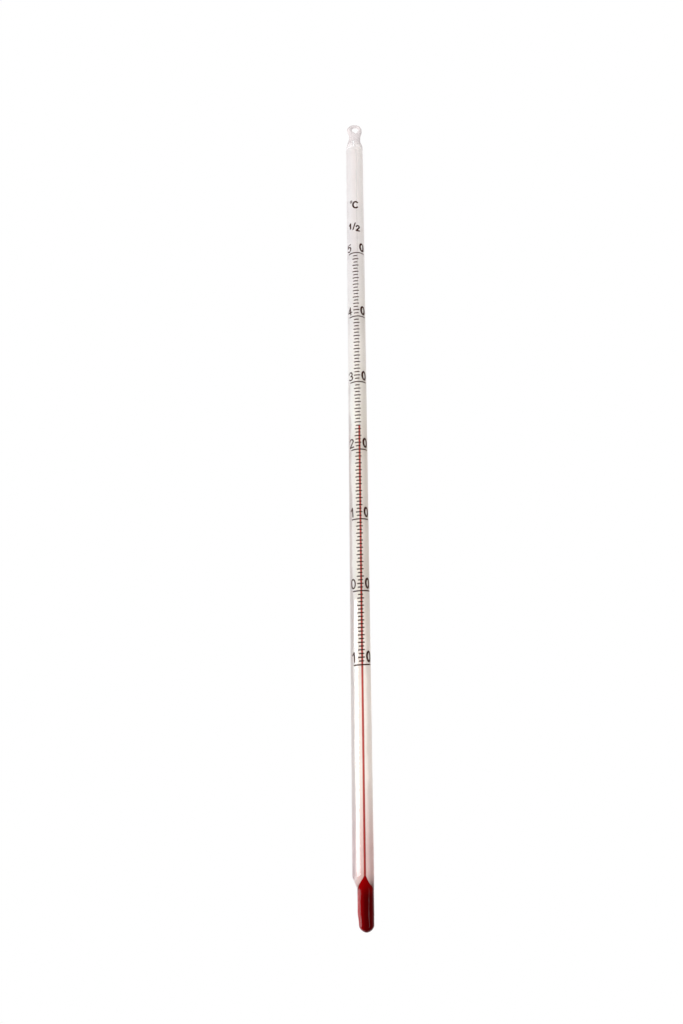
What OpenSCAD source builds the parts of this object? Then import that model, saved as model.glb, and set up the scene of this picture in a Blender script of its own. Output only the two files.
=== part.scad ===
// Darkroom thermometer: a solid glass stem with a red spirit column, an opal backing strip and a
// scale printed in half degrees. Millimetres, +Z up. It hangs by its glass eye, whose centre is the
// origin, and its scale faces -Y. Angles round the stem are counted from the front towards +X.

/* [Stem] */
// Overall length, from the bulb's tip to the top of the hanging eye
total_l = 300; // [250:1:370]
// Stem diameter
stem_d = 6.8; // [5.6:0.1:8.4]
// Bore diameter
bore_d = 0.44; // [0.3:0.01:0.6]
// How far the bore lies to the right of the stem's axis
bore_x = 0.35; // [0:0.05:0.5]
// Solid glass that closes the bore at the top of the stem
bore_end_l = 1; // [0.5:0.1:3]

/* [Opal backing] */
// Thickness of the opal strip
backing_t = 0.45; // [0.3:0.05:0.7]
// Clear glass behind the strip
backing_cover = 0.6; // [0.4:0.05:0.9]
// Angle that the strip spans round the axis, in degrees
backing_deg = 140; // [100:5:170]

/* [Bulb] */
// Height of the stem's lower end above the bulb's tip
bulb_l = 15.4; // [12:0.1:20]
// Bulb diameter
bulb_d = 5.1; // [4.2:0.05:6.2]
// Glass wall of the bulb
bulb_wall = 0.4; // [0.3:0.01:0.6]
// Length over which the stem narrows to the bulb
taper_l = 3.1; // [2:0.1:5]
// How far the bulb's right side lies inside the stem's right side
flush_step = 0.1; // [0:0.05:0.5]
// Height of the bulb's rounded tip
tip_h = 2; // [1:0.1:2.5]
// Length of the funnel between the bore and the bulb's full width
funnel_l = 2.6; // [1.5:0.1:4]

/* [Hanging eye] */
// Height from the stem's upper end to the top of the eye
eye_l = 12.2; // [10:0.1:16]
// Outer width of the loop
eye_w = 6; // [5:0.1:7.2]
// Thickness of the rod that the loop is bent from
eye_rod_d = 1.6; // [1.3:0.05:2]
// Width of the neck under the loop
neck_d = 4.3; // [3.4:0.1:5.2]
// Length over which the stem narrows to the neck
shoulder_l = 4.7; // [3.5:0.1:6]
// Height of the fused glass that fills the bottom of the loop
web_h = 0.9; // [0.4:0.1:1.2]

/* [Scale] */
// Lowest mark, in degrees Celsius
scale_min = -10; // [-10:10:0]
// Highest mark
scale_max = 50; // [30:10:50]
// Temperature that the spirit column shows at rest
rest_deg = 23.9; // [0:0.1:29]
// Height of the zero mark above the bulb's tip
zero_h = 104.1; // [85:0.1:126]
// Length of one degree at the zero mark
degree_l = 2.49; // [2:0.01:3]
// How much longer each degree gets than the one below it, because warm spirit expands faster
degree_growth = 0.0063; // [0:0.0001:0.008]

/* [Print] */
// Thickness of the fired enamel
ink_t = 0.02; // [0.01:0.005:0.05]
// Width of a scale line
line_w = 0.32; // [0.16:0.01:0.4]
// Half the angle that a ten-degree line spans
ten_half_deg = 53; // [40:1:65]
// Half the angle that a degree line spans
degree_half_deg = 18.5; // [15:0.5:28]
// Half the angle that a half-degree line spans
half_degree_half_deg = 13.5; // [10:0.5:20]
// Angle of the print's middle at the zero mark
print_deg = 4; // [-10:0.1:10]
// How far the print turns for each degree down the scale
print_turn = 0.15; // [0:0.01:0.2]
// How far the ten-degree lines are shifted to the right of the print's middle
ten_shift_deg = 8; // [-5:0.5:10]
// How far the shorter lines are shifted to the left of the print's middle
tick_shift_deg = 1; // [-5:0.5:5]
// Slant of the print, with its right side higher
print_slant = 4; // [0:0.5:6]

/* [Figures] */
// Height of a figure
figure_h = 3.7; // [2.8:0.1:4.6]
// Width of a figure
figure_w = 2.2; // [1.6:0.1:2.7]
// Width of the pen stroke
stroke_w = 0.6; // [0.3:0.01:0.7]
// Gap between a ten-degree line and the foot of its figures
figure_gap = 0.75; // [0.5:0.05:1.5]
// Angle from the print's middle to the middle of a figure
figure_deg = 45.5; // [40:0.5:52]
// Height of the one-half sign's middle above the highest mark
half_sign_rise = 11.3; // [9:0.1:13]
// Height of the figures in the one-half sign
half_sign_h = 2.9; // [2.2:0.1:3.4]
// Height of the unit sign's middle above the highest mark
unit_rise = 21.9; // [18:0.1:24]
// Height of the letter in the unit sign
unit_h = 3.4; // [2.8:0.1:4]

/* [Hidden] */
figure_nodes = ["figures_minus_10", "figures_0", "figures_10", "figures_20", "figures_30",
                "figures_40", "figures_50"];
$fn = 64;

wet_gap = 0.02; // between the spirit and the glass
seat_gap = 0.01; // between the opal strip and its slot
ink_gap = 0.01; // between the print and the glass
head_l = 10; // top of the column, which moves with the temperature
sill = 0.05; // thickness of the discs that a hull runs between
past = 1; // how far a cut runs past what it cuts

stem_r = stem_d / 2;
bore_r = bore_d / 2;
bulb_r = bulb_d / 2;
bulb_x = stem_r - flush_step - bulb_r; // the bulb hangs off centre, near the stem's right side
hollow_r = bulb_r - bulb_wall;
loop_r = (eye_w - eye_rod_d) / 2;

tip_z = eye_w / 2 - total_l;
stem_low_z = tip_z + bulb_l;
stem_top_z = eye_w / 2 - eye_l;
bore_top_z = stem_top_z - bore_end_l;
web_z = web_h - (eye_w / 2 - eye_rod_d);
level_z = mark_z(rest_deg);

backing_outer_r = stem_r - backing_cover;
backing_inner_r = backing_outer_r - backing_t;

// Height of a temperature's mark
function mark_z(deg) = tip_z + zero_h + degree_l * deg + degree_growth / 2 * deg * deg;

// Angle of the print's middle at a temperature's mark
function print_angle(deg) = print_deg - print_turn * deg;

// Points along an elliptical arc
function arc(x, y, rx, ry, from, to, steps = 10) =
    [for (i = [0:steps]) let (a = from + (to - from) * i / steps) [x + rx * cos(a), y + ry * sin(a)]];

// Outline of a pen stroke along a path: its points moved half the stroke's width to either side,
// with a half circle round each end
function ribbon(path, w) = let (
    last = len(path) - 1,
    run = [for (i = [0:last]) let (d = path[min(i + 1, last)] - path[max(i - 1, 0)]) d / norm(d)],
    side = [for (d = run) [-d[1], d[0]]]
) concat(
    [for (i = [0:last]) path[i] + side[i] * w / 2],
    [for (a = [30:30:150]) path[last] + (side[last] * cos(a) + run[last] * sin(a)) * w / 2],
    [for (i = [last:-1:0]) path[i] - side[i] * w / 2],
    [for (a = [30:30:150]) path[0] - (side[0] * cos(a) + run[0] * sin(a)) * w / 2]);

// Shoulder between the stem and the neck: half a cosine wave
function shoulder(steps = 10) = [for (i = [0:steps])
    [neck_d / 2 + (stem_r - neck_d / 2) * (1 + cos(180 * i / steps)) / 2,
     stem_top_z + shoulder_l * i / steps]];

// Bulb outline from the tip up to a height, as a quarter ellipse and a straight side
function bulb_outline(r, low_z, top_z, h) =
    concat([[0, top_z]], arc(0, low_z + h, r, h, -90, 0, 9), [[r, top_z]]);

// Sector of a ring round the stem's axis, centred on an angle from the front
module sector(angle, half, inner_r, outer_r, h) {
    rotate([0, 0, angle - half - 90])
        rotate_extrude(angle = 2 * half)
            translate([inner_r, 0]) square([outer_r - inner_r, h]);
}

// The bulb's hollow: a funnel that opens from the bore, and a round-ended body. The liquid that
// fills it is the same shape, smaller by a gap.
module bulb_hollow(gap) {
    steps = 5;
    funnel_z = stem_low_z - funnel_l;
    hull() for (i = [0:steps]) {
        t = i / steps;
        r = bore_r + (hollow_r - bore_r) * sin(90 * t) - gap;
        x = bore_x + (bulb_x - bore_x) * t;
        translate([x, 0, stem_low_z - sill - (funnel_l - sill) * t]) cylinder(r = r, h = sill, $fn = 48);
    }
    translate([bulb_x, 0, 0])
        rotate_extrude()
            polygon(bulb_outline(hollow_r - gap, tip_z + bulb_wall + gap, funnel_z + sill,
                                 tip_h - bulb_wall));
}

// One line of the scale
module scale_line(deg, angle, half) {
    translate([0, 0, mark_z(deg)])
        rotate([0, -print_slant, 0])
            translate([0, 0, -line_w / 2])
                sector(angle, half, stem_r + ink_gap, stem_r + ink_gap + ink_t, line_w);
}

// A flat glyph laid on the stem, with its own origin at an angle and a height
module printed(angle, z) {
    difference() {
        intersection() {
            translate([0, 0, z - figure_h]) cylinder(r = stem_r + ink_gap + ink_t, h = 2 * figure_h);
            translate([0, 0, z])
                rotate([0, -print_slant, 0])
                    rotate([0, 0, angle])
                        translate([0, -stem_r / 2, 0])
                            rotate([90, 0, 0]) linear_extrude(stem_r) children();
        }
        translate([0, 0, z - figure_h - past])
            cylinder(r = stem_r + ink_gap, h = 2 * figure_h + 2 * past);
    }
}

// Pen strokes with round ends
module strokes(paths, w) {
    for (path = paths) polygon(ribbon(path, w));
}

// A closed oval stroke, x and y being the half axes of its middle line
module oval(x, y, w) {
    difference() {
        polygon(arc(0, 0, x + w / 2, y + w / 2, 0, 345, 23));
        polygon(arc(0, 0, x - w / 2, y - w / 2, 0, 345, 23));
    }
}

// A figure, centred on its origin, w wide and h high over its strokes
module figure(value, w, h, pen) {
    x = (w - pen) / 2;
    y = (h - pen) / 2;
    if (value == 0) oval(x, y, pen);
    if (value == 1) strokes([[[0.2 * x, -y], [0.2 * x, y]], [[0.2 * x, y], [-0.7 * x, 0.45 * y]]], pen);
    if (value == 2) strokes([
        concat(arc(0, 0.5 * y, x, 0.5 * y, 165, -35), [[-x, -y]]),
        [[-x, -y], [x, -y]]], pen);
    if (value == 3) strokes([
        arc(0, 0.5 * y, 0.9 * x, 0.5 * y, 160, -90), arc(0, -0.5 * y, x, 0.5 * y, 90, -160)], pen);
    if (value == 4) strokes([
        [[0.4 * x, -y], [0.4 * x, y]], [[0.4 * x, y], [-x, -0.35 * y]],
        [[-x, -0.35 * y], [x, -0.35 * y]]], pen);
    if (value == 5) strokes([
        [[0.9 * x, y], [-0.7 * x, y]], [[-0.7 * x, y], [-0.85 * x, 0.1 * y]],
        arc(-0.05 * x, -0.32 * y, 1.05 * x, 0.68 * y, 140, -150)], pen);
}

module glass_stem() {
    color("lightcyan") difference() {
        translate([0, 0, stem_low_z]) cylinder(r = stem_r, h = stem_top_z - stem_low_z);
        translate([bore_x, 0, stem_low_z - past]) cylinder(r = bore_r, h = bore_top_z - stem_low_z + past);
        translate([0, 0, stem_low_z - past])
            sector(180, backing_deg / 2 + 0.5, backing_inner_r - seat_gap, backing_outer_r + seat_gap,
                   stem_top_z - stem_low_z + 2 * past);
    }
}

module opal_backing() {
    color("ivory") translate([0, 0, stem_low_z])
        sector(180, backing_deg / 2, backing_inner_r, backing_outer_r, stem_top_z - stem_low_z);
}

module bulb_glass() {
    color("lightcyan") difference() {
        union() {
            hull() {
                translate([0, 0, stem_low_z - sill]) cylinder(r = stem_r, h = sill, $fn = 96);
                translate([bulb_x, 0, stem_low_z - taper_l]) cylinder(r = bulb_r, h = sill, $fn = 96);
            }
            translate([bulb_x, 0, 0])
                rotate_extrude() polygon(bulb_outline(bulb_r, tip_z, stem_low_z - taper_l + sill, tip_h));
        }
        bulb_hollow(0);
    }
}

module hanging_eye() {
    color("lightcyan") {
        rotate([90, 0, 0]) rotate_extrude() translate([loop_r, 0]) circle(d = eye_rod_d);
        rotate_extrude()
            polygon(concat([[0, stem_top_z]], shoulder(),
                           [[neck_d / 2, -eye_w / 2], [eye_rod_d / 2, web_z], [0, web_z]]));
    }
}

module bulb_spirit() {
    color("darkred") bulb_hollow(wet_gap);
}

module spirit_column() {
    color("crimson") translate([bore_x, 0, stem_low_z])
        cylinder(r = bore_r - wet_gap, h = level_z - head_l - stem_low_z, $fn = 24);
}

// The top of the column, hollowed because spirit wets the glass
module spirit_head() {
    r = bore_r - wet_gap;
    color("crimson") translate([bore_x, 0, level_z - head_l]) difference() {
        cylinder(r = r, h = head_l, $fn = 24);
        translate([0, 0, head_l + 0.6 * r]) sphere(r = 1.1 * r, $fn = 24);
    }
}

module ten_degree_lines() {
    color("saddlebrown") for (deg = [scale_min:10:scale_max])
        scale_line(deg, print_angle(deg) + ten_shift_deg, ten_half_deg);
}

module degree_lines() {
    color("saddlebrown") for (deg = [scale_min:scale_max])
        if (deg % 10 != 0) scale_line(deg, print_angle(deg) - tick_shift_deg, degree_half_deg);
}

module half_degree_lines() {
    color("saddlebrown") for (deg = [scale_min + 0.5:scale_max - 0.5])
        scale_line(deg, print_angle(deg) - tick_shift_deg, half_degree_half_deg);
}

// The pair of figures that stands on a ten-degree line, tens on the left and units on the right
module figures(deg) {
    z = mark_z(deg) + figure_gap + figure_h / 2;
    color("saddlebrown") {
        printed(print_angle(deg) - figure_deg, z)
            rotate(print_slant) figure(abs(deg) / 10, figure_w, figure_h, stroke_w);
        printed(print_angle(deg) + figure_deg, z)
            rotate(print_slant) figure(0, figure_w, figure_h, stroke_w);
    }
}

// One half: what one short line stands for
module half_sign() {
    w = 0.62 * half_sign_h;
    pen = 0.9 * stroke_w;
    middle = print_angle(scale_max);
    z = mark_z(scale_max) + half_sign_rise; // the sign steps down to the right
    color("saddlebrown") {
        printed(middle - 34, z + 1.1) figure(1, w, half_sign_h, pen);
        printed(middle - 7, z + 0.7)
            strokes([[[-0.25 * w, -half_sign_h / 2], [0.25 * w, half_sign_h / 2]]], 0.8 * pen);
        printed(middle + 18, z - 0.25) figure(2, w, half_sign_h, pen);
    }
}

// Degrees Celsius
module unit_sign() {
    middle = print_angle(scale_max);
    ring_h = 0.3 * unit_h;
    letter_w = 0.8 * unit_h;
    z = mark_z(scale_max) + unit_rise;
    color("saddlebrown") {
        printed(middle - 26, z + unit_h / 2)
            oval(0.36 * ring_h, 0.5 * ring_h, 0.5 * stroke_w);
        printed(middle + 5, z)
            strokes([arc(0, 0, (letter_w - stroke_w) / 2, (unit_h - stroke_w) / 2, 50, 310, 20)], 1.1 * stroke_w);
    }
}

glass_stem();
opal_backing();
bulb_glass();
hanging_eye();
bulb_spirit();
spirit_column();
spirit_head();
ten_degree_lines();
degree_lines();
half_degree_lines();
half_sign();
unit_sign();
for (i = [0:len(figure_nodes) - 1])
    figures(10 * (i - 1));
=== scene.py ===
import bpy
import bmesh
import math
import numpy as np
from mathutils import Matrix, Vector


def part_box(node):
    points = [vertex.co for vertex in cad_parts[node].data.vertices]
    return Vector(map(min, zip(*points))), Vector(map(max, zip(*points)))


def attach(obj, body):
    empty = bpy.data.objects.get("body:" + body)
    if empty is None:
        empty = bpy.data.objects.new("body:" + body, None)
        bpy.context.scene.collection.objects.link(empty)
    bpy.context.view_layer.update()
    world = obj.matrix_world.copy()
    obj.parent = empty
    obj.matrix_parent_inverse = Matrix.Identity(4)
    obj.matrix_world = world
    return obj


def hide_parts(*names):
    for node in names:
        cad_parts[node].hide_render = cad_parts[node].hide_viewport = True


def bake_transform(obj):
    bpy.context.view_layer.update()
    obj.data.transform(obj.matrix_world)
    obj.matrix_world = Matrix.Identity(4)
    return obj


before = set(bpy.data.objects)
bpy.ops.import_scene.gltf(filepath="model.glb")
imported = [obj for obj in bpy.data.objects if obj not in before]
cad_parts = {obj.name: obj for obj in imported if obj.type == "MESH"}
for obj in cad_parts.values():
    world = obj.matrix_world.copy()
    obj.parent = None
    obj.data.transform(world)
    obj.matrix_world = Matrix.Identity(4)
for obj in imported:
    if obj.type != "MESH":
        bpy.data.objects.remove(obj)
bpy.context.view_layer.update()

mm = 0.001  # the numbers in the dictionaries are millimetres and degrees

# Where things are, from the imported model
stemLow, stemHigh = (np.array(p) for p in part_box("glass_stem"))
columnLow, columnHigh = (np.array(p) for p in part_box("spirit_column"))
spiritLow, spiritHigh = (np.array(p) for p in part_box("bulb_spirit"))
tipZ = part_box("bulb_glass")[0].z
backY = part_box("opal_backing")[1].y  # the opal strip's back face
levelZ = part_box("spirit_head")[1].z
stemRadius = (stemHigh[0] - stemLow[0]) / 2
stemR = stemRadius / mm
boreX = (columnLow[0] + columnHigh[0]) / 2
rootBody = "stem"


def toLinear(hexColour):
    # sRGB hex to linear: below 0.04045 a straight line, above it a power of 2.4
    srgb = np.array([int(hexColour[i:i + 2], 16) for i in (0, 2, 4)]) / 255
    linear = np.where(srgb <= 0.04045, srgb / 12.92, ((srgb + 0.055) / 1.055) ** 2.4)
    return (*linear.tolist(), 1.0)


def smoothStep(t):
    # 3t^2 - 2t^3 between 0 and 1: flat at both ends
    t = np.clip(t, 0, 1)
    return t * t * (3 - 2 * t)


def gridFaces(rows, cols, closed):
    # quads between neighbouring points of a rows x cols grid, wound so that columns that run
    # anticlockwise seen from above, on rows that climb, face outwards
    r, c = np.meshgrid(np.arange(rows - 1), np.arange(cols if closed else cols - 1), indexing="ij")
    nextC = (c + 1) % cols
    quads = np.stack([r * cols + c, r * cols + nextC, (r + 1) * cols + nextC, (r + 1) * cols + c], -1)
    return quads.reshape(-1, 4)


def fanFaces(ring, pole, up):
    # triangles from a ring of point numbers to one pole
    turned = np.roll(ring, -1)
    a, b = (ring, turned) if up else (turned, ring)
    return np.stack([a, b, np.full(len(ring), pole)], -1)


def makePiece(name, points, faces, material, smooth=True):
    # points become the mesh's vertices, and faces is a list of arrays of point numbers
    mesh = bpy.data.meshes.new(name)
    mesh.from_pydata(np.asarray(points).reshape(-1, 3).tolist(), [],
                     [f for part in faces for f in np.asarray(part).tolist()])
    mesh.validate()
    mesh.materials.append(material)
    mesh.polygons.foreach_set("use_smooth", [smooth] * len(mesh.polygons))
    piece = bpy.data.objects.new(name, mesh)
    bpy.context.scene.collection.objects.link(piece)
    return piece


def closeUp(mesh):
    # fills any open end and turns every face outwards
    bm = bmesh.new()
    bm.from_mesh(mesh)
    bmesh.ops.holes_fill(bm, edges=[e for e in bm.edges if e.is_boundary], sides=0)
    bmesh.ops.recalc_face_normals(bm, faces=bm.faces)
    bm.to_mesh(mesh)
    bm.free()


def joinParts(parts):
    # several (points, face lists) become one list of points and one of faces
    points, faces, start = [], [], 0
    for p, fs in parts:
        p = np.asarray(p).reshape(-1, 3)
        points.append(p)
        faces += [np.asarray(f) + start for f in fs]
        start += len(p)
    return np.concatenate(points), faces


def feed(tree, node, inputs):
    # each input is linked to the socket given for it, or else set to the value given
    for key, value in inputs.items():
        if isinstance(value, bpy.types.NodeSocket):
            tree.links.new(value, node.inputs[key])
        else:
            node.inputs[key].default_value = value


def addNode(tree, kind, settings=None, inputs=None, stops=()):
    # one node with its settings and inputs, and the places and colours of a ramp
    node = tree.nodes.new(kind)
    for key, value in (settings or {}).items():
        setattr(node, key, value)
    feed(tree, node, inputs or {})
    if stops:
        elements = node.color_ramp.elements
        while len(elements) < len(stops):
            elements.new(0.5)  # its place and colour are set below
        for element, (place, colour) in zip(elements, stops):
            element.position = place
            element.color = toLinear(colour)
    return node


def newMaterial(name):
    # a material, its tree, its shader and output, and the Object coordinates that patterns read
    material = bpy.data.materials.new(name)
    material.use_nodes = True
    tree = material.node_tree
    tree.nodes.clear()
    shader = addNode(tree, "ShaderNodeBsdfPrincipled")
    out = addNode(tree, "ShaderNodeOutputMaterial", None, {"Surface": shader.outputs["BSDF"]})
    where = addNode(tree, "ShaderNodeTexCoord").outputs["Object"]
    return material, tree, shader, out, where


view = {
    "film": 36,  # long side of the frame
    "lens": 26.02,
    "distance": 251,  # from the stem's axis
    "height": 60.2,  # above the bulb's tip
    "left": 6.12,  # of the stem
    "pitch": 16.13,
    "roll": -0.3,
    "nearest": 5,
    "farthest": 50000,
}


def addCamera():
    camera = bpy.data.objects.new("camera", bpy.data.cameras.new("camera"))
    camera.data.sensor_width = view["film"]
    camera.data.lens = view["lens"]
    camera.data.clip_start = view["nearest"] * mm
    camera.data.clip_end = view["farthest"] * mm
    place = Matrix.Translation((-view["left"] * mm, -view["distance"] * mm, tipZ + view["height"] * mm))
    tilt = Matrix.Rotation(math.radians(90 + view["pitch"]), 4, "X")
    roll = Matrix.Rotation(math.radians(view["roll"]), 4, "Z")
    camera.matrix_world = place @ tilt @ roll
    bpy.context.scene.collection.objects.link(camera)
    bpy.context.scene.camera = camera


addCamera()
print("camera set")

easeIn = {"interpolation_type": "SMOOTHSTEP"}  # for a range that starts and ends gently

glassLook = {
    "clear": "fdfefd",
    # the eye's colour is painted shade: a grey pink for the darker room its glass bends into view
    "paintedEyeShade": "ddd6d6",
    "eyeShadeFrom": -2,  # heights above the stem's end between which the eye's painted shade comes in
    "eyeShadeTo": 1,
    "eyeShadeThrough": 0.3,  # share of the light that the eye's glass lets through where it carries painted shade
    "index": 1.5,
    "streak": 1,  # width of a drawn streak
    "streakLength": 50,  # in widths
    "streakDepth": 0.004,
    "roughest": 0.03,
}


def clearGlass():
    # Soda-lime rod, drawn and fire-polished: clear, hardly rough, and faintly streaked along its
    # length where it was pulled. The eye is painted a grey pink and lets less light through: painted
    # shade, standing in for the darker room that the eye's glass bends into view.
    look = glassLook
    material, tree, shader, out, where = newMaterial("fire polished glass")
    height = addNode(tree, "ShaderNodeSeparateXYZ", None, {"Vector": where}).outputs["Z"]
    # the eye: painted grey-pink shade, and less light let through
    eyeShadeMask = addNode(tree, "ShaderNodeMapRange", easeIn, {
        "Value": height,
        "From Min": stemHigh[2] + look["eyeShadeFrom"] * mm,
        "From Max": stemHigh[2] + look["eyeShadeTo"] * mm}).outputs["Result"]
    colour = addNode(tree, "ShaderNodeValToRGB", None, {"Fac": eyeShadeMask}, [
        (0, look["clear"]), (1, look["paintedEyeShade"])])
    clearness = addNode(tree, "ShaderNodeMapRange", None, {
        "Value": eyeShadeMask, "To Min": 1, "To Max": look["eyeShadeThrough"]})
    drawn = addNode(tree, "ShaderNodeMapping", None, {
        "Vector": where, "Scale": (1, 1, 1 / look["streakLength"])})
    streaks = addNode(tree, "ShaderNodeTexNoise", None, {
        "Vector": drawn.outputs["Vector"], "Scale": 1 / (look["streak"] * mm), "Detail": 1}).outputs["Fac"]
    wear = addNode(tree, "ShaderNodeMapRange", None, {
        "Value": streaks, "To Min": 0, "To Max": look["roughest"]})
    bump = addNode(tree, "ShaderNodeBump", None, {
        "Height": streaks, "Strength": 1, "Distance": look["streakDepth"] * mm})
    feed(tree, shader, {
        "Base Color": colour.outputs["Color"],
        "Transmission Weight": clearness.outputs["Result"],
        "Roughness": wear.outputs["Result"],
        "Normal": bump.outputs["Normal"],
        "IOR": look["index"]})
    # lamps and the room light what is inside it straight through
    ray = addNode(tree, "ShaderNodeLightPath")
    lit = addNode(tree, "ShaderNodeMath", {"operation": "MAXIMUM"}, {
        0: ray.outputs["Is Shadow Ray"], 1: ray.outputs["Is Diffuse Ray"]})
    through = addNode(tree, "ShaderNodeBsdfTransparent")
    mixed = addNode(tree, "ShaderNodeMixShader", None, {
        0: lit.outputs[0], 1: shader.outputs["BSDF"], 2: through.outputs["BSDF"]})
    feed(tree, out, {"Surface": mixed.outputs[0]})
    return material


opalLookAndPaintedShade = {
    # across the strip: from the front it comes into view at about 0.2, lies behind the bore at 0.49
    # and goes out of view at about 0.67. The colours are painted shade and light: darker at the far left
    # edge, a painted highlight band left of the bore, darker and more beige on the right
    "upper": [(0.2, "e6e5e6"), (0.285, "efedee"), (0.42, "e8e3e2"), (0.6, "d3cecb"), (0.83, "cac5c2")],
    "middle": [(0.2, "dddad9"), (0.235, "dfdbda"), (0.265, "fbf9f6"), (0.42, "f5f1ea"), (0.6, "cac3ba"),
               (0.83, "c0bab1")],
    "lower": [(0.2, "dddad9"), (0.235, "dfdbda"), (0.265, "fbf9f6"), (0.42, "f4ece6"), (0.57, "e7e1db"),
              (0.61, "d2cac2"), (0.83, "c4bdb4")],
    "tint": [(0.12, "fbeef3"), (0.27, "fff6f8"), (0.47, "eed8d8"), (0.72, "d8b0b2")],  # painted red light, bounced up the stem from the bulb
    # each layer of painted shade, painted highlight or painted red light comes in over the middle's colours
    # between two heights above the tip
    "paintedLightLayers": (("lower", 105, 78, "MIX"), ("upper", 150, 250, "MIX"), ("tint", 50, 15, "MULTIPLY")),
    "left": -2,  # places of 0 and 1 across it, before the clouds shift them
    "right": 3.4,
    "shift": 0.6,  # how far a cloud moves the colours to the left
    "cloud": 2.5,  # width of a cloud
    "cloudLength": 4,  # in widths
    "glowDepth": 0.4,  # how far light spreads inside
    "roughness": 0.5,
    "index": 1.5,
}


def opalGlass():
    # Milk-white glass drawn into the stem as a strip. Light scatters right through it, so front and
    # back glow alike. Its colours carry painted shade and light: darker at the far left edge, a painted
    # highlight band left of the bore, darker and more beige on the right, a second painted highlight
    # right of the bore low on the stem, evening out towards the top, and painted red light from the
    # bulb at its low end. It also has faint clouds stretched along the draw.
    look = opalLookAndPaintedShade
    material, tree, shader, out, where = newMaterial("opal glass with painted shade")
    drawn = addNode(tree, "ShaderNodeMapping", None, {
        "Vector": where, "Scale": (1, 1, 1 / look["cloudLength"])})
    clouds = addNode(tree, "ShaderNodeTexNoise", None, {
        "Vector": drawn.outputs["Vector"], "Scale": 1 / (look["cloud"] * mm), "Detail": 3})
    place = addNode(tree, "ShaderNodeSeparateXYZ", None, {"Vector": where})
    shifted = addNode(tree, "ShaderNodeMath", {"operation": "MULTIPLY_ADD"}, {
        0: clouds.outputs["Fac"], 1: look["shift"] * mm, 2: place.outputs["X"]})
    across = addNode(tree, "ShaderNodeMapRange", None, {
        "Value": shifted.outputs[0],
        "From Min": look["left"] * mm,
        "From Max": look["right"] * mm}).outputs["Result"]
    # painted shade and highlight across the strip; the layers below add painted shade and highlight by
    # height, and painted red light near the bulb
    colour = addNode(tree, "ShaderNodeValToRGB", None, {"Fac": across}, look["middle"]).outputs["Color"]
    for name, start, full, blend in look["paintedLightLayers"]:
        reach = addNode(tree, "ShaderNodeMapRange", easeIn, {
            "Value": place.outputs["Z"], "From Min": tipZ + start * mm, "From Max": tipZ + full * mm})
        layer = addNode(tree, "ShaderNodeValToRGB", None, {"Fac": across}, look[name])
        colour = addNode(tree, "ShaderNodeMix", {"data_type": "RGBA", "blend_type": blend}, {
            0: reach.outputs["Result"], 6: colour, 7: layer.outputs["Color"]}).outputs[2]
    feed(tree, shader, {
        "Base Color": colour,
        "Subsurface Weight": 1,
        "Subsurface Radius": (1, 1, 1),
        "Subsurface Scale": look["glowDepth"] * mm,
        "Roughness": look["roughness"],
        "IOR": look["index"]})
    return material


spiritLookAndPaintedShade = {
    "full": [  # the full bulb, from its left side to its right, with painted shade: a brighter red on the left where light falls, darkest right of the middle, a little lighter at the right edge
        (0.0, "9c1016"), (0.14, "7a0508"), (0.4, "500001"), (0.75, "460000"), (1.0, "540a0c")],
    "funnel": "860002",
    "fullBelow": 10,  # heights above the tip between which one becomes the other
    "funnelAbove": 16,
    "cloud": 3.333,
    "shift": 1,  # how far a cloud moves that change down
    "roughness": 0.4,
    "thread": [(0.35, "ae4a43"), (0.65, "b9564e")],
    "threadLow": "983633",  # near the bulb
    "threadFrom": 60,  # heights above the tip between which it deepens
    "threadTo": 15,
    "threadCloud": 2,
    "threadCloudLength": 10,  # in widths
}


def redSpirit():
    # Dyed alcohol under glass: a purer red where it is thin, in the funnel, and so deep that it is
    # nearly opaque where the bulb is full. Across the bulb the colour is painted shade: a brighter red
    # on the left side, where the light falls, darkest right of the middle.
    look = spiritLookAndPaintedShade
    material, tree, shader, out, where = newMaterial("dyed spirit")
    place = addNode(tree, "ShaderNodeSeparateXYZ", None, {"Vector": where})
    cloud = addNode(tree, "ShaderNodeTexNoise", None, {
        "Vector": where, "Scale": 1 / (look["cloud"] * mm), "Detail": 1})
    lift = addNode(tree, "ShaderNodeMath", {"operation": "MULTIPLY_ADD"}, {
        0: cloud.outputs["Fac"], 1: look["shift"] * mm, 2: place.outputs["Z"]})
    thin = addNode(tree, "ShaderNodeMapRange", easeIn, {
        "Value": lift.outputs[0],
        "From Min": tipZ + look["fullBelow"] * mm,
        "From Max": tipZ + look["funnelAbove"] * mm})
    # painted shade across the bulb: a brighter red on the left, where light falls, darkest right of the
    # middle
    across = addNode(tree, "ShaderNodeMapRange", None, {
        "Value": place.outputs["X"], "From Min": spiritLow[0], "From Max": spiritHigh[0]})
    deep = addNode(tree, "ShaderNodeValToRGB", None, {"Fac": across.outputs["Result"]}, look["full"])
    colour = addNode(tree, "ShaderNodeMix", {"data_type": "RGBA"}, {
        0: thin.outputs["Result"], 6: deep.outputs["Color"], 7: toLinear(look["funnel"])})
    feed(tree, shader, {
        "Base Color": colour.outputs[2],
        "Roughness": look["roughness"],
        "Specular IOR Level": 0})  # glass on spirit hardly reflects
    return material


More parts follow.
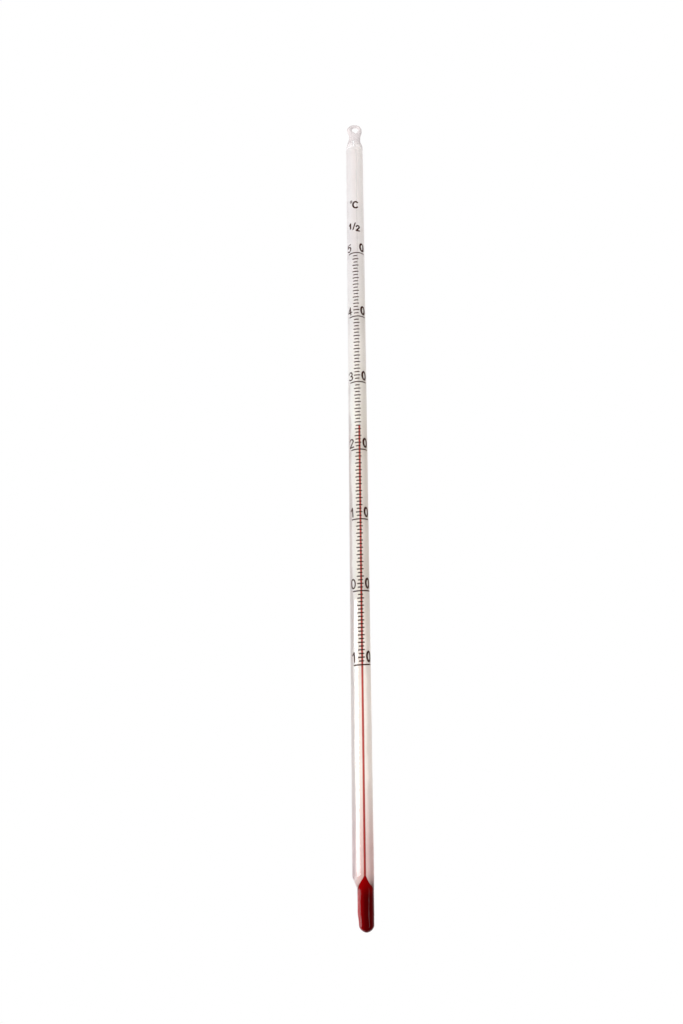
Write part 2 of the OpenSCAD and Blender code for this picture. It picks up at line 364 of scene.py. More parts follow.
def thinSpirit():
    # The same spirit as a thread under half a millimetre thick: light comes through it, so it is a
    # paler brick red, and a little deeper near the bulb.
    look = spiritLookAndPaintedShade
    material, tree, shader, out, where = newMaterial("dyed spirit in the bore")
    drawn = addNode(tree, "ShaderNodeMapping", None, {
        "Vector": where, "Scale": (1, 1, 1 / look["threadCloudLength"])})
    cloud = addNode(tree, "ShaderNodeTexNoise", None, {
        "Vector": drawn.outputs["Vector"], "Scale": 1 / (look["threadCloud"] * mm), "Detail": 1})
    pale = addNode(tree, "ShaderNodeValToRGB", None, {"Fac": cloud.outputs["Fac"]}, look["thread"])
    height = addNode(tree, "ShaderNodeSeparateXYZ", None, {"Vector": where}).outputs["Z"]
    near = addNode(tree, "ShaderNodeMapRange", easeIn, {
        "Value": height,
        "From Min": tipZ + look["threadFrom"] * mm,
        "From Max": tipZ + look["threadTo"] * mm})
    colour = addNode(tree, "ShaderNodeMix", {"data_type": "RGBA"}, {
        0: near.outputs["Result"], 6: pale.outputs["Color"], 7: toLinear(look["threadLow"])})
    feed(tree, shader, {
        "Base Color": colour.outputs[2],
        "Roughness": look["roughness"],
        "Specular IOR Level": 0})
    return material


enamelLook = {
    "ink": [(0.3, "331710"), (0.7, "472417")],
    "grain": 0.25,  # coarser than the real pigment, which is too fine to show
    "grainDepth": 0.002,
    "smoothest": 0.4,
    "roughest": 0.6,
    "specular": 0.2,
}


def firedEnamel():
    # Dark brown ceramic ink, rolled on and fired in: a thin, slightly uneven satin film.
    look = enamelLook
    material, tree, shader, out, where = newMaterial("fired enamel")
    grain = addNode(tree, "ShaderNodeTexNoise", None, {
        "Vector": where, "Scale": 1 / (look["grain"] * mm), "Detail": 2}).outputs["Fac"]
    colour = addNode(tree, "ShaderNodeValToRGB", None, {"Fac": grain}, look["ink"])
    gloss = addNode(tree, "ShaderNodeMapRange", None, {
        "Value": grain, "To Min": look["smoothest"], "To Max": look["roughest"]})
    bump = addNode(tree, "ShaderNodeBump", None, {
        "Height": grain, "Strength": 1, "Distance": look["grainDepth"] * mm})
    feed(tree, shader, {
        "Base Color": colour.outputs["Color"],
        "Roughness": gloss.outputs["Result"],
        "Normal": bump.outputs["Normal"],
        "Specular IOR Level": look["specular"]})
    return material


glass = clearGlass()
opal = opalGlass()
spirit = redSpirit()
thread = thinSpirit()
enamel = firedEnamel()
print("materials made")

eye = {
    "cell": 0.16,  # spacing of the grid that the glass is found on
    "margin": 1.2,  # of that grid round the glass
    "top": 3,  # of the loop
    "shoulder": 4.9,  # the stem narrows to the neck over this height above its end
    "neckWide": 2.15,  # half sizes of the neck
    "neckDeep": 1.35,
    "lean": 0.12,  # of the neck, to the right
    "neckTop": -1.2,  # glass fills the bottom of the loop up to here
    "neckTilt": 0.5,  # and lies lower on the right
    "neckRound": 1.4,  # how softly its top rounds off
    "neckScale": 0.85,  # turns a height below that slanting top into about a distance
    "blend": 0.45,  # how far fused rods flow into each other
    "slitBlend": 0.15,
    "slitRise": 0.9,  # the slit climbs this much for each step to the back
    "join": 1.0,  # below the stem's end, where this part meets the plain stem
    "bridge": 0.6,  # the gap left there for the faces that join the two
    "steps": 8,  # on each stretch of a leg
    # x, y, z and radius at places along each leg, and along the slit left between them
    "mainLeg": [
        (0.75, 0.1, -6.6, 1.35), (1.05, 0.1, -4.4, 1.2), (1.4, 0.05, -2.4, 1.15), (2.1, 0, -0.7, 0.9),
        (2.35, 0, 0.6, 0.66), (1.65, 0, 1.95, 0.62), (0, 0, 2.37, 0.62), (-1.4, 0, 1.8, 0.76),
        (-2.05, 0, 0.6, 0.92)],
    "endLeg": [
        (-2.05, 0, 0.6, 0.92), (-1.7, -0.05, -0.7, 1.0), (-1.1, -0.1, -2.0, 1.1), (-1.3, -0.1, -4.0, 0.8),
        (-1.75, 0, -5.6, 0.85), (-2.0, 0.1, -7.2, 1.0)],
    "slit": [(-0.2, 0, -7.6, 0.06), (-0.35, 0, -6.2, 0.24), (-0.47, 0, -4.95, 0.4)],
}
smoothing = {
    "rounds": 6,
    "pull": 0.6,  # how far each point goes towards the mean of its neighbours
    "probe": 0.05,  # of a cell, the step that the slope is felt over
    "tries": 3,
    "flattest": 0.2,  # a squared slope below this counts as this
}


def legPath(places):
    # Catmull-Rom curve through the places: each stretch is the cubic whose slope at a place is half
    # the step between its two neighbours
    p = np.array(places, float)
    p = np.vstack([2 * p[0] - p[1], p, 2 * p[-1] - p[-2]])
    t = np.linspace(0, 1, eye["steps"], endpoint=False)[:, None]
    a, b, c, d = (part[:, None] for part in (p[:-3], p[1:-2], p[2:-1], p[3:]))
    curve = 0.5 * (2 * b + (c - a) * t + (2 * a - 5 * b + 4 * c - d) * t ** 2
                   + (3 * b - a - 3 * c + d) * t ** 3)
    return np.vstack([curve.reshape(-1, 4), p[-2:-1]])


def rodDistance(p, path):
    # distance to a rod whose radius changes along a path: the nearest of its short straight pieces
    best = np.full(len(p), np.inf)
    for a, b in zip(path[:-1], path[1:]):
        along = b[:3] - a[:3]
        t = np.clip((p - a[:3]) @ along / (along @ along), 0, 1)
        gap = p - a[:3] - t[:, None] * along
        best = np.minimum(best, np.sqrt((gap * gap).sum(1)) - (a[3] + (b[3] - a[3]) * t))
    return best


def fuse(a, b, k):
    # smooth minimum of two distances: within k of each other the nearer one drops by a parabola
    h = np.maximum(k - np.abs(a - b), 0) / k
    return np.minimum(a, b) - h * h * k / 4


mainLeg, endLeg, slit = (legPath(eye[name]) for name in ("mainLeg", "endLeg", "slit"))


def eyeDistance(p):
    # The stem narrows over its shoulder to a flat neck: an ellipse whose half sizes follow a smooth
    # step of the height, cut off by a slanting plane. One rod rises from the neck's right side,
    # bends over into the loop, and comes down on the left to fuse onto the shoulder. The slit
    # between the legs is a rod of air that climbs towards the back.
    x, y, z = p[:, 0], p[:, 1], p[:, 2]
    t = smoothStep((z - stemHigh[2] / mm) / eye["shoulder"])
    wide = stemR + (eye["neckWide"] - stemR) * t
    deep = stemR + (eye["neckDeep"] - stemR) * t
    q = np.sqrt(((x - eye["lean"] * t) / wide) ** 2 + (y / deep) ** 2)
    body = (q - 1) * np.minimum(wide, deep)
    below = (eye["neckTop"] - eye["neckTilt"] * x - z) * eye["neckScale"]
    body = -fuse(-body, below, eye["neckRound"])
    legs = fuse(fuse(body, rodDistance(p, mainLeg), eye["blend"]), rodDistance(p, endLeg), eye["blend"])
    flat = np.stack([x, 0 * y, z - eye["slitRise"] * y], -1)
    return -fuse(-legs, rodDistance(flat, slit), eye["slitBlend"])


def surfaceNet(distance, low, high, cell):
    # One point in each grid cell that the surface crosses, and one quad round each grid edge that
    # it crosses. Each quad joins the four cells round its edge and faces away from the inside.
    counts = np.ceil((high - low) / cell).astype(int) + 1
    axes = [low[i] + cell * np.arange(counts[i]) for i in range(3)]
    grid = np.stack(np.meshgrid(*axes, indexing="ij"), -1)
    inside = distance(grid.reshape(-1, 3)).reshape(counts) < 0
    corners = sum(inside[i:counts[0] - 1 + i, j:counts[1] - 1 + j, k:counts[2] - 1 + k].astype(int)
                  for i in (0, 1) for j in (0, 1) for k in (0, 1))
    crossed = (corners > 0) & (corners < 8)
    number = np.full(crossed.shape, -1)
    number[crossed] = np.arange(crossed.sum())
    points = low + cell * (np.argwhere(crossed) + 0.5)
    quads = []
    for axis in range(3):
        u, v = (axis + 1) % 3, (axis + 2) % 3
        first = np.moveaxis(inside, (axis, u, v), (0, 1, 2))
        n = np.moveaxis(number, (axis, u, v), (0, 1, 2))
        change = first[:-1, 1:-1, 1:-1] != first[1:, 1:-1, 1:-1]
        leaving = first[:-1, 1:-1, 1:-1][change]
        ring = np.stack([n[:, :-1, :-1], n[:, 1:, :-1], n[:, 1:, 1:], n[:, :-1, 1:]], -1)[change]
        ring[~leaving] = ring[~leaving][:, ::-1]
        quads.append(ring)
    quads = np.concatenate(quads)
    return points, quads[(quads >= 0).all(1)]


def ontoSurface(points, distance, cell):
    # moves each point against the slope of the distance until the distance is about zero
    step = smoothing["probe"] * cell
    for _ in range(smoothing["tries"]):
        here = distance(points)
        slope = np.stack([(distance(points + step * e) - here) / step for e in np.eye(3)], -1)
        steep = np.maximum((slope * slope).sum(1), smoothing["flattest"])
        points = points - np.clip(here, -cell, cell)[:, None] * slope / steep[:, None]
    return points


def settle(points, quads, distance, cell, fixed):
    # evens the points out by moving each towards the mean of its neighbours, and back onto the surface
    a = quads.reshape(-1)
    b = np.roll(quads, -1, 1).reshape(-1)
    pull = smoothing["pull"]
    for _ in range(smoothing["rounds"]):
        total = np.zeros_like(points)
        count = np.zeros(len(points))
        for one, other in ((a, b), (b, a)):
            np.add.at(total, one, points[other])
            np.add.at(count, one, 1)
        moved = np.where(fixed[:, None], points, (1 - pull) * points + pull * total / count[:, None])
        points = ontoSurface(moved, distance, cell)
    return points


def eyeSurface():
    # the net of the eye's distance, settled, with its lowest layer as a flat round open edge
    cell = eye["cell"]
    join = stemHigh[2] / mm - eye["join"]
    side = stemR + eye["margin"]
    low = np.array([-side, -side, join - cell / 2])
    high = np.array([side, side, eye["top"] + eye["margin"]])
    points, quads = surfaceNet(eyeDistance, low, high, cell)
    used = np.zeros(len(points), bool)
    used[quads.reshape(-1)] = True
    renumber = np.cumsum(used) - 1
    points, quads = points[used], renumber[quads]
    edge = points[:, 2] < join + cell / 2
    points = settle(ontoSurface(points, eyeDistance, cell), quads, eyeDistance, cell, edge)
    points[edge, 2] = join
    points[edge, :2] *= (stemR / np.hypot(*points[edge, :2].T))[:, None]
    return points * mm, quads, join * mm


eyePoints, eyeQuads, joinZ = eyeSurface()
print("hanging eye found:", len(eyePoints), "points")

bulb = {
    "middle": 0.71,  # its axis, right of the stem's
    "radius": 2.57,
    "endMiddle": 0.86,  # near the tip it leans right and narrows
    "endRadius": 2.36,
    "narrowFrom": 5.6,  # heights above the tip
    "narrowTo": 2.2,
    "dome": 2.0,
    "domePower": 1.7,  # a little more pointed than an ellipse
    "taperFrom": 15.9,
    "taperTo": 11.7,
    "stemFrom": 16.4,  # plain stem from here up
    "wall": 0.4,
    "firstRing": 0.06,  # angle of the first ring round the tip, in radians
    "domeRings": 14,
    "wallRings": 56,
    "stemRings": 60,
    "around": 96,
}
bore = {
    "radius": 0.035,  # drawn thinner than it is, because an empty bore hardly shows
    "aboveLow": 0.5,  # it stops this far inside the stem's two ends
    "belowHigh": 1.0,
    "rings": 60,
}
bulbTurn = np.linspace(0, 2 * np.pi, bulb["around"], endpoint=False)
spiritTurn = bulbTurn[::2]
threadTurn = bulbTurn[::4]


def bulbShape(z):
    # middle and radius at heights above the tip, in mm: plain stem, a taper, the bulb's straight
    # wall, a slight narrowing, and for the tip a curve near a quarter ellipse
    taper = smoothStep((bulb["taperFrom"] - z) / (bulb["taperFrom"] - bulb["taperTo"]))
    narrow = smoothStep((bulb["narrowFrom"] - z) / (bulb["narrowFrom"] - bulb["narrowTo"]))
    middle = bulb["middle"] * taper + (bulb["endMiddle"] - bulb["middle"]) * narrow
    radius = stemR * (1 - taper) + bulb["radius"] * taper + (bulb["endRadius"] - bulb["radius"]) * narrow
    fall = np.clip(1 - z / bulb["dome"], 0, 1)
    return middle, radius * (1 - fall ** bulb["domePower"]) ** (1 / bulb["domePower"])


def tube(z, middle, radius, turn):
    # circles of a given middle and radius at each height
    z, middle, radius = (np.broadcast_to(np.asarray(v, float), np.shape(z))[:, None]
                         for v in (z, middle, radius))
    return np.stack([middle + radius * np.cos(turn), radius * np.sin(turn), z + 0 * turn], -1)


def closedTube(points):
    # a tube with a pole at each end, outwards
    rows, cols = points.shape[:2]
    poles = np.stack([points[0].mean(0), points[-1].mean(0)])
    every = np.vstack([points.reshape(-1, 3), poles])
    first, last = np.arange(cols), np.arange(cols) + (rows - 1) * cols
    return every, [gridFaces(rows, cols, True), fanFaces(first, rows * cols, False),
                   fanFaces(last, rows * cols + 1, True)]


def makeGlass():
    # circles up the bulb and the stem, the eye's net on top, and the bore as a cavity inside
    heights = np.concatenate([
        bulb["dome"] * (1 - np.cos(np.linspace(bulb["firstRing"], np.pi / 2, bulb["domeRings"]))),
        np.linspace(bulb["dome"], bulb["stemFrom"], bulb["wallRings"])[1:],
        np.linspace(bulb["stemFrom"], (joinZ - tipZ) / mm - eye["bridge"], bulb["stemRings"])[1:]])
    middle, radius = bulbShape(heights)
    skin = tube(tipZ + heights * mm, middle * mm, radius * mm, bulbTurn)
    pole = np.array([[bulb["endMiddle"] * mm, 0, tipZ]])
    rows, around = len(heights), bulb["around"]
    skinPoints = np.vstack([skin.reshape(-1, 3), pole])
    skinFaces = [gridFaces(rows, around, True), fanFaces(np.arange(around), rows * around, False)]
    boreZ = np.linspace(stemLow[2] + bore["aboveLow"] * mm, stemHigh[2] - bore["belowHigh"] * mm,
                        bore["rings"])
    borePoints, boreFaces = closedTube(tube(boreZ, boreX, bore["radius"] * mm, threadTurn))
    inward = [f[:, ::-1] for f in boreFaces]  # the cavity's walls face into it
    points, faces = joinParts([(skinPoints, skinFaces), (eyePoints, [eyeQuads]), (borePoints, inward)])
    piece = makePiece("glass", points, faces, glass)
    # the eye's open edge and the stem's last ring are bridged
    bm = bmesh.new()
    bm.from_mesh(piece.data)
    bmesh.ops.bridge_loops(bm, edges=[e for e in bm.edges if e.is_boundary])
    bm.normal_update()
    for face in bm.faces:
        face.smooth = True
    print("glass: open edges left", sum(len(e.link_faces) != 2 for e in bm.edges))
    bm.to_mesh(piece.data)
    bm.free()
    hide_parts("glass_stem", "bulb_glass", "hanging_eye")
    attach(piece, rootBody)


makeGlass()
print("glass made")

backing = {
    "half": 70,  # half its angle round the stem
    "thick": 0.45,
    "above": 3.2,  # how far it runs past the stem's two ends
    "below": 3.6,
    "steps": 40,  # round its front and its back
    "edgeSteps": 8,  # round each long edge
    "rings": 90,
    "aboveRings": 16,
    "belowRings": 12,
}


def makeBacking():
    # A ring sector behind the bore, with half-round long edges. Past the stem's ends it narrows with
    # the glass that was drawn out round it, up to the legs and down along the taper.
    outer = backY / mm
    thick = backing["thick"]
    mid = outer - thick / 2
    half = math.radians(backing["half"])
    n = backing["steps"]
    wall = np.linspace(-half, half, n)
    bend = np.linspace(0, np.pi, backing["edgeSteps"])[1:-1]
    angle = np.concatenate([wall, half + thick / 2 / mid * np.sin(bend), wall[::-1],
                            -half - thick / 2 / mid * np.sin(bend)])
    radius = np.concatenate([np.full(n, outer), mid + thick / 2 * np.cos(bend), np.full(n, outer - thick),
                             mid - thick / 2 * np.cos(bend)])
    low, high = (stemLow[2] - tipZ) / mm, (stemHigh[2] - tipZ) / mm  # heights above the tip
    z = np.concatenate([np.linspace(low - backing["below"], low, backing["belowRings"])[:-1],
                        np.linspace(low, high, backing["rings"])[:-1],
                        np.linspace(high, high + backing["above"], backing["aboveRings"])])
    middle, glassRadius = bulbShape(z)
    up = smoothStep((z - high) / eye["shoulder"])
    wide = (glassRadius - (stemR - eye["neckWide"]) * up) / stemR
    deep = (glassRadius - (stemR - eye["neckDeep"]) * up) / stemR
    points = np.stack([middle[:, None] - wide[:, None] * radius * np.sin(angle),
                       deep[:, None] * radius * np.cos(angle),
                       tipZ / mm + z[:, None] + 0 * angle], -1) * mm
    piece = makePiece("opalStrip", points, [gridFaces(len(z), len(angle), True)], opal)
    closeUp(piece.data)
    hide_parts("opal_backing")
    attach(piece, rootBody)


makeBacking()
print("opal backing made")

charge = {
    "dome": 1.2,  # height of its round bottom
    "funnelStart": 0.35,  # above the stem's low end
    "funnelLength": 7.5,
    "funnelArch": 1.85,  # above 1 it bulges
    "funnelRound": 0.5,  # where it meets the bulb's wall
    "funnelShift": 2,  # at 2 it is over the bulb's middle halfway down
    "overlap": 0.02,  # the funnel's foot is this much wider than the bulb's inside
    "neck": 0.1,  # of plain thread above the funnel
    "firstRing": 0.08,  # angle of the first ring round the bottom, in radians
    "domeRings": 12,
    "rings": 70,
}
column = {
    "wetting": 0.03,  # it wets the bore's wall, so its radius is this much more than its node's
    "start": 0.05,  # above its node's low end
    "rings": 120,
    "cup": 0.6,  # depth of its hollow top, in radii
    "cupSteps": 6,
    "cupMiddle": 0.1,  # angle of the cup's innermost ring, in radians
}
threadRadius = (columnHigh[0] - columnLow[0]) / 2 + column["wetting"] * mm


def makeBulbSpirit():
    # A funnel that widens as one minus a power of the way left to its foot is rounded into the
    # body, whose wall follows the bulb's and whose bottom is a quarter ellipse.
    wall, thin = bulb["wall"], threadRadius / mm
    low = wall + charge["dome"]
    start = (stemLow[2] - tipZ) / mm + charge["funnelStart"]
    bottom = np.linspace(charge["firstRing"], np.pi / 2, charge["domeRings"])
    z = np.concatenate([wall + charge["dome"] * (1 - np.cos(bottom)),
                        np.linspace(low, start + charge["neck"], charge["rings"])[1:]])
    middle, radius = bulbShape(z)
    fall = np.clip(1 - (z - wall) / charge["dome"], 0, 1)
    body = (np.where(z < low, bulb["endRadius"], radius) - wall) * np.sqrt(1 - fall ** 2)
    t = np.clip((start - z) / charge["funnelLength"], 0, 1)
    arch = 1 - (1 - t) ** charge["funnelArch"]
    cone = thin + (bulb["radius"] - wall - thin + charge["overlap"]) * arch
    r = np.maximum(fuse(body, cone, charge["funnelRound"]), thin)
    x = boreX / mm + (middle - boreX / mm) * smoothStep(charge["funnelShift"] * t)
    points, faces = closedTube(tube(tipZ + z * mm, x * mm, r * mm, spiritTurn))
    piece = makePiece("bulbSpirit", points, faces, spirit)
    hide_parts("bulb_spirit")
    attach(piece, rootBody)


def makeThread():
    # circles up the column, and an elliptical hollow at its top where spirit climbs the glass
    z = np.linspace(columnLow[2] + column["start"] * mm, levelZ, column["rings"])
    cup = np.linspace(np.pi / 2, column["cupMiddle"], column["cupSteps"])[1:]
    points = np.concatenate([
        tube(z, boreX, threadRadius, threadTurn),
        tube(levelZ - column["cup"] * threadRadius * np.cos(cup), boreX, threadRadius * np.sin(cup),
             threadTurn)])
    every, faces = closedTube(points)
    piece = makePiece("spiritThread", every, faces, thread)
    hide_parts("spirit_column", "spirit_head")
    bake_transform(piece)


makeBulbSpirit()
makeThread()
print("spirit made")

scale = {
    "low": -10,
    "high": 50,
    "zero": 104.1,  # height of the zero mark above the bulb's tip
    "degree": 2.49,  # at the zero mark
    "growth": 0.0063,  # each degree is longer than the last, as warm spirit expands faster
    "line": 0.44,  # width of a line
    "slant": 4,  # right side higher
    "middle": 4.0,  # the print's middle at the zero mark, as an angle from the front
    "turn": 0.15,  # for each degree down the scale
    # shifts and half lengths of the lines, as angles round the stem
    "tenShift": 8,
    "tenHalf": 53,
    "tickShift": -1,
    "degreeHalf": 16.6,
    "halfDegreeHalf": 11.6,
    "waver": 0.05,  # how far a line's ends stray, as rolled print does
    "bendEvery": 4,  # a line has a point at about each of these angles
    "fewestPoints": 5,
}
figure = {
    "high": 3.7,
    "wide": 2.2,
    "pen": 0.6,
    "tensPen": 0.48,
    "unitsPen": 0.8,
    "gap": 0.75,  # above the line
    "angle": 45.5,  # of each figure from the print's middle
}
ink = {
    "off": 0.01,  # clear of the glass
    "thick": 0.02,
    "across": (1, 0.82, 0, -0.82, -1),  # points of its section, in half pen widths,
    "up": (0, 1, 1, 1, 0),  # and how high it stands at each
    "ends": (25, 50, 70, 85),  # angles of the points that round a stroke's ends
}


def markZ(degrees):
    # height of a mark above the tip: a parabola, because each degree is longer than the last by the
    # same amount
    return scale["zero"] + scale["degree"] * degrees + scale["growth"] / 2 * degrees ** 2


def printMiddle(degrees):
    return scale["middle"] - scale["turn"] * degrees


def inkStroke(path, pen, closed=False):
    # A stroke on the unrolled stem: its section is a low flat-topped bead, carried along the path
    # and wrapped on the glass. x is the distance round the stem from the front, in mm.
    path = np.asarray(path, float)
    if closed:
        ahead = np.roll(path, -1, 0) - np.roll(path, 1, 0)
    else:
        ahead = np.gradient(path, axis=0)
    ahead /= np.linalg.norm(ahead, axis=1)[:, None]
    half = np.full(len(path), pen / 2)
    if not closed:  # round ends: the path runs on past its ends, narrowing as a circle does
        a = np.radians(ink["ends"])
        start = path[0] - ahead[0] * (pen / 2 * np.sin(a[::-1]))[:, None]
        end = path[-1] + ahead[-1] * (pen / 2 * np.sin(a))[:, None]
        half = np.concatenate([pen / 2 * np.cos(a[::-1]), half, pen / 2 * np.cos(a)])
        path = np.vstack([start, path, end])
        ahead = np.vstack([np.repeat(ahead[:1], len(a), 0), ahead, np.repeat(ahead[-1:], len(a), 0)])
    side = np.stack([-ahead[:, 1], ahead[:, 0]], -1)
    across, up = np.array(ink["across"]), np.array(ink["up"])
    flat = path[:, None, :] + side[:, None, :] * (half[:, None] * across)[..., None]
    r = stemR + ink["off"] + ink["thick"] * up
    turned = flat[..., 0] / stemR
    points = np.stack([r * np.sin(turned), -r * np.cos(turned), flat[..., 1] + 0 * r], -1)
    n, cols = len(path), len(across)
    first, last = np.arange(cols), (n - 1) * cols + np.arange(cols)
    faces = gridFaces(n, cols, True)[:, ::-1]
    if closed:
        seam = np.stack([last, first, np.roll(first, -1), np.roll(last, -1)], -1)
        return points, [np.vstack([faces, seam[:, ::-1]])]
    return points, [faces, first[None], last[None, ::-1]]


def inkPiece(name, strokes, node):
    points, faces = joinParts(strokes)
    points = points * mm
    points[:, 2] += tipZ
    piece = makePiece(name, points, faces, enamel)
    closeUp(piece.data)
    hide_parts(node)
    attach(piece, rootBody)


def scaleLine(degrees, shift, half, waver):
    # a straight stroke with a slight slant: it rises with the sine of the angle round the stem
    middle = math.radians(printMiddle(degrees) + shift) * stemR
    reach = math.radians(half) * stemR
    count = max(scale["fewestPoints"], int(half / scale["bendEvery"]))
    x = np.linspace(middle - reach + waver[0], middle + reach + waver[1], count)
    z = markZ(degrees) + stemR * np.sin(x / stemR) * math.tan(math.radians(scale["slant"]))
    return inkStroke(np.stack([x, z], -1), scale["line"])


random = np.random.default_rng(7)


def makeLines():
    # a line at each half degree, the longest at each ten
    every = np.arange(scale["low"] * 2, scale["high"] * 2 + 1) / 2
    waver = random.normal(0, scale["waver"], (len(every), 2))
    ten, whole = every % 10 == 0, every % 1 == 0
    for name, node, here, shift, half in (
            ("tenDegreeLines", "ten_degree_lines", ten, "tenShift", "tenHalf"),
            ("degreeLines", "degree_lines", whole & ~ten, "tickShift", "degreeHalf"),
            ("halfDegreeLines", "half_degree_lines", ~whole, "tickShift", "halfDegreeHalf")):
        inkPiece(name, [scaleLine(degrees, scale[shift], scale[half], w)
                        for degrees, w in zip(every[here], waver[here])], node)


def oval(x, y, rx, ry, start, end, steps=14):
    # points on an ellipse between two angles
    a = np.radians(np.linspace(start, end, steps))
    return np.stack([x + rx * np.cos(a), y + ry * np.sin(a)], -1)


def line(*ends):
    return np.array(ends, float)


def figurePaths(value, x, y):
    # pen paths of a figure whose half width is x and half height y; True marks a closed path
    shapes = {
        0: [(oval(0, 0, x, y, 0, 360, 33)[:-1], True)],
        1: [(line((0.2 * x, -y), (0.2 * x, y)), False), (line((0.2 * x, y), (-0.7 * x, 0.4 * y)), False)],
        2: [(np.vstack([oval(0, 0.5 * y, x, 0.5 * y, 165, -35), line((-x, -y))]), False),
            (line((-x, -y), (x, -y)), False)],
        3: [(oval(0, 0.5 * y, 0.9 * x, 0.5 * y, 160, -90), False),
            (oval(0, -0.5 * y, x, 0.5 * y, 90, -160), False)],
        4: [(line((0.4 * x, -y), (0.4 * x, y)), False), (line((0.4 * x, y), (-x, -0.35 * y)), False),
            (line((-x, -0.35 * y), (x, -0.35 * y)), False)],
        5: [(line((0.9 * x, y), (-0.7 * x, y)), False), (line((-0.7 * x, y), (-0.85 * x, 0.1 * y)), False),
            (oval(-0.05 * x, -0.32 * y, 1.05 * x, 0.68 * y, 140, -150), False)],
    }
    return shapes[value]


def printed(paths, angle, height, pen, slant):
    # paths laid on the stem round a point at an angle from the front and a height above the tip
    c, s = math.cos(math.radians(slant)), math.sin(math.radians(slant))
    x0 = math.radians(angle) * stemR
    z0 = height + stemR * math.sin(math.radians(angle)) * math.tan(math.radians(scale["slant"]))
    return [inkStroke(p @ np.array([[c, s], [-s, c]]) + (x0, z0), pen, closed) for p, closed in paths]


def makeFigures():
    # tens on the left of each long line and a nought on its right
    x, y = (figure["wide"] - figure["pen"]) / 2, (figure["high"] - figure["pen"]) / 2
    for degrees in range(scale["low"], scale["high"] + 1, 10):
        height = markZ(degrees) + figure["gap"] + figure["high"] / 2
        middle = printMiddle(degrees)
        strokes = []
        for value, angle, pen in ((abs(degrees) // 10, -figure["angle"], figure["tensPen"]),
                                  (0, figure["angle"], figure["unitsPen"])):
            strokes += printed(figurePaths(value, x, y), middle + angle, height, pen, scale["slant"])
        node = f"figures_{degrees}".replace("-", "minus_")
        inkPiece(f"figures{degrees}".replace("-", "Minus"), strokes, node)


sign = {
    "halfRise": 11.3,  # of each sign above the top mark
    "unitRise": 21.9,
    "halfHigh": 2.9,
    "halfWide": 0.62,  # of its height
    "halfPen": 1.05,  # of the figures' pen
    "halfPlaces": [(-34, 1.1), (-7, 0.7), (18, -0.25)],  # angle from the print's middle, and height
    "slashPen": 0.8,  # of the half sign's pen
    "slashLean": 0.25,  # of its width
    "unitHigh": 3.4,
    "ringAngle": -26,
    "ringHigh": 0.3,  # of the unit sign's height
    "ringWide": 0.72,  # of its own height
    "ringPen": 0.5,
    "letterAngle": 5,
    "letterWide": 0.8,
    "letterPen": 1.2,
    "letterFrom": 50,  # angles between which the letter curves
    "letterTo": 310,
}


def makeSigns():
    # the half sign is a 1, a slash and a 2; the unit sign is a small ring and an open oval
    middle = printMiddle(scale["high"])
    top = markZ(scale["high"])
    h = sign["halfHigh"]
    w = sign["halfWide"] * h
    pen = sign["halfPen"] * figure["pen"]
    x, y = (w - pen) / 2, (h - pen) / 2
    lean = sign["slashLean"] * w
    slash = [(line((-lean, -h / 2), (lean, h / 2)), False)]
    strokes = []
    for paths, width, (angle, rise) in zip((figurePaths(1, x, y), slash, figurePaths(2, x, y)),
                                           (pen, sign["slashPen"] * pen, pen), sign["halfPlaces"]):
        strokes += printed(paths, middle + angle, top + sign["halfRise"] + rise, width, 0)
    inkPiece("halfSign", strokes, "half_sign")
    h = sign["unitHigh"]
    z = top + sign["unitRise"]
    pen = figure["pen"]
    ring = sign["ringHigh"] * h
    outline = oval(0, 0, sign["ringWide"] / 2 * ring, ring / 2, 0, 360, 21)[:-1]
    letter = oval(0, 0, (sign["letterWide"] * h - pen) / 2, (h - pen) / 2,
                  sign["letterFrom"], sign["letterTo"], 26)
    strokes = printed([(outline, True)], middle + sign["ringAngle"], z + h / 2, sign["ringPen"] * pen, 0)
    strokes += printed([(letter, False)], middle + sign["letterAngle"], z, sign["letterPen"] * pen, 0)
    inkPiece("unitSign", strokes, "unit_sign")


makeLines()
makeFigures()
makeSigns()
print("scale printed")

studio = {
    "floorBelow": 150,  # the thermometer hangs this far above the floor
    "floorSize": 700,
    "floorColour": "fafafa",
    "floorRoughness": 0.9,
    "floorGlow": 0.25,  # added where it is seen, or seen through glass
    "backdrop": "ffffff",
    "mirrored": [  # what glass mirrors, from sideways or in front at 0 to straight back at 1
        (0.0, "252022"), (0.35, "8f8286"), (0.6, "cfc7ca"), (0.8, "ebe5e7"), (0.97, "ffffff")],
    "through": [  # and what shows through it
        (0.0, "cfc6c8"), (0.5, "e2d9db"), (0.85, "f3eeef"), (0.97, "ffffff")],
    "left": 1.85,  # how strongly each side lights the pieces
    "right": 0.62,
    "boxes": {
        "left softbox": {"angle": -52, "away": 600, "wide": 450, "low": -95, "high": 200, "glow": 8.0},
        "low left card": {"angle": -100, "away": 600, "wide": 560, "low": -330, "high": -95, "glow": 1.6},
        "right card": {"angle": 42, "away": 600, "wide": 160, "low": -300, "high": 150, "glow": 0.8},
    },
}


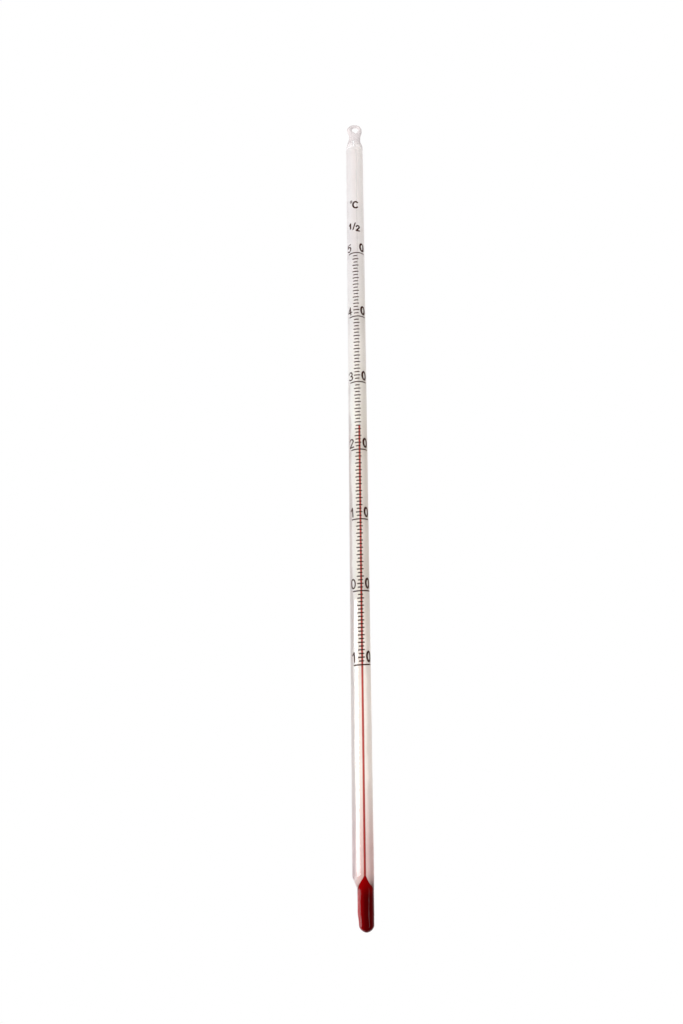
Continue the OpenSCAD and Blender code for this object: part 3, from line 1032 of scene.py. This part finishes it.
def paleFloor():
    # Painted board: pale and matt. Where nothing shades it, it is as white as the backdrop.
    material, tree, shader, out, where = newMaterial("pale painted board")
    feed(tree, shader, {
        "Base Color": toLinear(studio["floorColour"]),
        "Roughness": studio["floorRoughness"],
        "Specular IOR Level": 0})
    ray = addNode(tree, "ShaderNodeLightPath")
    seen = addNode(tree, "ShaderNodeMath", {"operation": "MAXIMUM"}, {
        0: ray.outputs["Is Camera Ray"], 1: ray.outputs["Is Transmission Ray"]})
    lift = addNode(tree, "ShaderNodeMath", {"operation": "MULTIPLY"}, {
        0: seen.outputs[0], 1: studio["floorGlow"]})
    glow = addNode(tree, "ShaderNodeEmission", None, {"Strength": lift.outputs[0]})
    both = addNode(tree, "ShaderNodeAddShader", None, {
        0: shader.outputs["BSDF"], 1: glow.outputs["Emission"]})
    feed(tree, out, {"Surface": both.outputs[0]})
    return material


def makeFloor():
    s = studio["floorSize"] / 2 * mm
    z = tipZ - studio["floorBelow"] * mm
    piece = makePiece("floor", [(-s, -s, z), (s, -s, z), (s, s, z), (-s, s, z)], [[[0, 1, 2, 3]]],
                      paleFloor(), smooth=False)
    piece.visible_glossy = False  # in front of the glass the room is dark


def addBox(name, box):
    # a softbox that faces the stem, at an angle from the front and between two heights; its power is
    # its brightness times pi and its area
    lamp = bpy.data.lights.new(name, "AREA")
    lamp.shape = "RECTANGLE"
    lamp.size = box["wide"] * mm
    lamp.size_y = (box["high"] - box["low"]) * mm
    lamp.energy = box["glow"] * math.pi * lamp.size * lamp.size_y
    thing = bpy.data.objects.new(name, lamp)
    turned = math.radians(box["angle"])
    middle = tipZ + (box["high"] + box["low"]) / 2 * mm
    away = box["away"] * mm
    place = Matrix.Translation((away * math.sin(turned), -away * math.cos(turned), middle))
    thing.matrix_world = place @ Matrix.Rotation(turned, 4, "Z") @ Matrix.Rotation(math.pi / 2, 4, "X")
    thing.visible_camera = False
    thing.visible_diffuse = False  # the room lights the pieces; these are what the glass mirrors
    bpy.context.scene.collection.objects.link(thing)


def lightWorld():
    # To the camera the backdrop is white everywhere. What glass mirrors is that white backdrop
    # behind the stem, fading to a dark room in front of it, and what shows through the glass fades
    # only to a pale grey. What lights the other pieces comes from all sides, and more from the left.
    world = bpy.data.worlds.new("studio")
    bpy.context.scene.world = world
    world.use_nodes = True
    tree = world.node_tree
    tree.nodes.clear()
    toward = addNode(tree, "ShaderNodeSeparateXYZ", None, {
        "Vector": addNode(tree, "ShaderNodeTexCoord").outputs["Generated"]})
    ray = addNode(tree, "ShaderNodeLightPath")
    mirrored, through = (
        addNode(tree, "ShaderNodeValToRGB", None, {"Fac": toward.outputs["Y"]}, studio[name]).outputs["Color"]
        for name in ("mirrored", "through"))
    glassy = addNode(tree, "ShaderNodeMix", {"data_type": "RGBA"}, {
        0: ray.outputs["Is Transmission Ray"], 6: mirrored, 7: through})
    sides = addNode(tree, "ShaderNodeMapRange", None, {
        "Value": toward.outputs["X"],
        "From Min": -1,
        "From Max": 1,
        "To Min": studio["left"],
        "To Max": studio["right"]})
    lit = addNode(tree, "ShaderNodeMix", {"data_type": "RGBA"}, {
        0: ray.outputs["Is Diffuse Ray"], 6: glassy.outputs[2], 7: sides.outputs["Result"]})
    seen = addNode(tree, "ShaderNodeMix", {"data_type": "RGBA"}, {
        0: ray.outputs["Is Camera Ray"], 6: lit.outputs[2], 7: toLinear(studio["backdrop"])})
    shade = addNode(tree, "ShaderNodeBackground", None, {"Color": seen.outputs[2]})
    addNode(tree, "ShaderNodeOutputWorld", None, {"Surface": shade.outputs["Background"]})


makeFloor()
for name, box in studio["boxes"].items():
    addBox(name, box)
lightWorld()
bpy.context.scene.view_settings.view_transform = "Standard"
print("studio lit")
